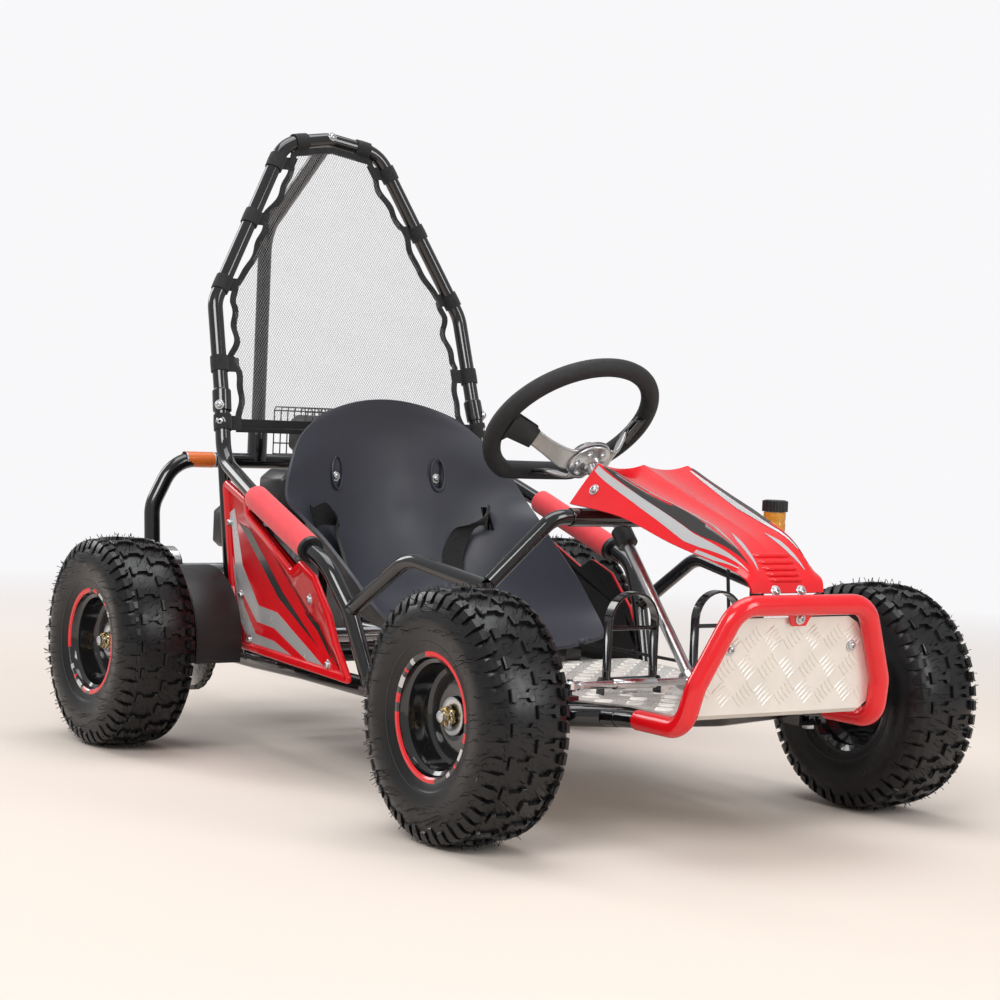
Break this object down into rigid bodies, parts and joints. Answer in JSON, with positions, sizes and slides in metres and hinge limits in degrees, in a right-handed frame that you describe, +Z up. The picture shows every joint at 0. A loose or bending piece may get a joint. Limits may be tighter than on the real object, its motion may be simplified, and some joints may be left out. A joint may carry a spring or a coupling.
{
  "type": "off-road go kart",
  "caption": "Single-seat off-road go kart with a tubular frame, padded roll hoop with a net, bucket seat, side panels, chain drive to the rear axle and tie-rod steering.",
  "frame": {"origin": "ground plane under the middle of the overall box", "axes": "+X towards the kart's nose, +Y to the driver's left, +Z up"},
  "size_m": [1.5176, 0.993, 1.0244],
  "materials": {
    "glossy_black": "gloss black powder coat",
    "glossy_red": "gloss red moulded plastic",
    "red_foam": "matt red foam",
    "zinc": "zinc plated, satin",
    "pale_plate": "pale bare plate, satin",
    "tyre_rubber": "matt tyre rubber",
    "seat_plastic": "dark blue-grey moulded plastic, satin",
    "black_webbing": "woven black webbing",
    "net_mesh": "fine dark mesh",
    "black_foam": "matt black foam",
    "black_plastic": "satin black plastic",
    "grey_plastic": "dark grey plastic",
    "engine_metal": "cast grey metal",
    "matt_black_steel": "matt black paint",
    "silver_steel": "bright turned steel",
    "chain_steel": "dark steel, oiled",
    "amber_plastic": "translucent amber plastic"
  },
  "bodies": {
    "chassis": {"safety_net": "net_mesh", "lower_frame": "glossy_black", "side_frame_left": "glossy_black", "side_frame_right": "glossy_black", "roll_cage_hoop": "glossy_black", "muffler_guard": "matt_black_steel", "seat_shell": "seat_plastic", "front_bumper": "glossy_red", "dash_tube": "glossy_black", "brake_hose": "black_plastic", "chain_guard": "matt_black_steel", "engine_block": "engine_metal", "rear_hoop": "glossy_black", "cage_brace": "glossy_black", "drive_chain": "chain_steel", "floor_plate": "pale_plate", "nose_cowl": "glossy_red", "axle_bearing_left": "engine_metal", "axle_bearing_right": "engine_metal", "column_bearing": "zinc", "muffler": "matt_black_steel", "foam_grip_left": "red_foam", "foam_grip_right": "red_foam", "recoil_housing": "black_plastic", "air_filter_box": "black_plastic", "brake_caliper": "engine_metal", "side_panel_left": "glossy_red", "side_panel_right": "glossy_red", "kingpin_left": "zinc", "kingpin_right": "zinc", "lap_belt_left": "black_webbing", "lap_belt_right": "black_webbing", "cooling_shroud": "grey_plastic", "fuel_tank": "black_plastic", "brake_reservoir": "amber_plastic"},
    "rear_axle_set": {"rear_axle": "silver_steel", "axle_sprocket": "silver_steel", "brake_disc": "silver_steel", "rear_rim_left": "glossy_black", "rear_rim_right": "glossy_black", "rear_tyre_left": "tyre_rubber", "rear_tyre_right": "tyre_rubber"},
    "clutch": {"clutch_drum": "zinc"},
    "spindle_left": {"spindle_left": "zinc"},
    "spindle_right": {"spindle_right": "zinc"},
    "front_wheel_left": {"front_rim_left": "glossy_black", "front_tyre_left": "tyre_rubber"},
    "front_wheel_right": {"front_rim_right": "glossy_black", "front_tyre_right": "tyre_rubber"},
    "tie_rod_left": {"tie_rod_left": "silver_steel"},
    "tie_rod_right": {"tie_rod_right": "silver_steel"},
    "steering": {"steering_shaft": "zinc", "wheel_spokes": "silver_steel", "wheel_rim": "black_foam"},
    "accelerator": {"accelerator_pedal": "matt_black_steel"},
    "brake": {"brake_pedal": "matt_black_steel"},
    "recoil_grip": {"recoil_handle": "black_plastic"},
    "ignition_switch": {"engine_switch": "glossy_red"},
    "tank_cap": {"fuel_cap": "black_plastic"},
    "cup_cap": {"reservoir_cap": "black_plastic"}
  },
  "joints": [
    {"name": "rear_axle_spin", "type": "hinge", "parent": "chassis", "child": "rear_axle_set", "pos_m": [-0.36965, 0, 0.165], "axis": [0, 1, 0], "continuous": true},
    {"name": "clutch_spin", "type": "hinge", "parent": "chassis", "child": "clutch", "pos_m": [-0.53115, 0, 0.265], "axis": [0, 1, 0], "continuous": true},
    {"name": "steering_turn", "type": "hinge", "parent": "chassis", "child": "steering", "pos_m": [0.53825, 0, 0.1885], "axis": [-0.663, 0, 0.7486], "range_deg": [-30, 30]},
    {"name": "accelerator_press", "type": "hinge", "parent": "chassis", "child": "accelerator", "pos_m": [0.47385, -0.065, 0.1935], "axis": [0, 1, 0], "range_deg": [0, 25], "stiffness_Nm_per_rad": 2, "springref_deg": -11.46},
    {"name": "brake_press", "type": "hinge", "parent": "chassis", "child": "brake", "pos_m": [0.47385, 0.087, 0.1935], "axis": [0, 1, 0], "range_deg": [0, 18], "stiffness_Nm_per_rad": 4, "springref_deg": -11.46},
    {"name": "recoil_pull", "type": "slide", "parent": "chassis", "child": "recoil_grip", "axis": [-0.1999, 0.5998, 0.7748], "range_m": [0, 0.45], "stiffness_N_per_m": 15, "springref_m": -0.06},
    {"name": "switch_turn", "type": "hinge", "parent": "chassis", "child": "ignition_switch", "pos_m": [-0.49015, 0.07, 0.1865], "axis": [0, 1, 0], "range_deg": [0, 60]},
    {"name": "fuel_cap_turn", "type": "hinge", "parent": "chassis", "child": "tank_cap", "pos_m": [-0.65145, 0, 0.378], "axis": [0, 0, 1], "range_deg": [0, 90]},
    {"name": "reservoir_cap_turn", "type": "hinge", "parent": "chassis", "child": "cup_cap", "pos_m": [0.52385, 0.14, 0.434], "axis": [0, 0, 1], "range_deg": [0, 180]},
    {"name": "kingpin_left", "type": "hinge", "parent": "chassis", "child": "spindle_left", "pos_m": [0.50735, 0.24, 0.166], "axis": [0, 0, 1], "range_deg": [-20, 20]},
    {"name": "front_wheel_spin_left", "type": "hinge", "parent": "spindle_left", "child": "front_wheel_left", "pos_m": [0.50735, 0.358, 0.165], "axis": [0, 1, 0], "continuous": true},
    {"name": "tie_rod_pivot_left", "type": "hinge", "parent": "spindle_left", "child": "tie_rod_left", "pos_m": [0.57335, 0.24, 0.207], "axis": [0, 0, 1], "range_deg": [-20, 20]},
    {"name": "kingpin_right", "type": "hinge", "parent": "chassis", "child": "spindle_right", "pos_m": [0.50735, -0.24, 0.166], "axis": [0, 0, 1], "range_deg": [-20, 20]},
    {"name": "front_wheel_spin_right", "type": "hinge", "parent": "spindle_right", "child": "front_wheel_right", "pos_m": [0.50735, -0.358, 0.165], "axis": [0, 1, 0], "continuous": true},
    {"name": "tie_rod_pivot_right", "type": "hinge", "parent": "spindle_right", "child": "tie_rod_right", "pos_m": [0.57335, -0.24, 0.207], "axis": [0, 0, 1], "range_deg": [-20, 20]}
  ],
  "couplings": [
    {"joint": "clutch_spin", "follows": "rear_axle_spin", "ratio": 3.5455},
    {"joint": "kingpin_left", "follows": "steering_turn", "ratio": 0.62},
    {"joint": "tie_rod_pivot_left", "follows": "steering_turn", "ratio": -0.62},
    {"joint": "kingpin_right", "follows": "steering_turn", "ratio": 0.62},
    {"joint": "tie_rod_pivot_right", "follows": "steering_turn", "ratio": -0.62}
  ]
}
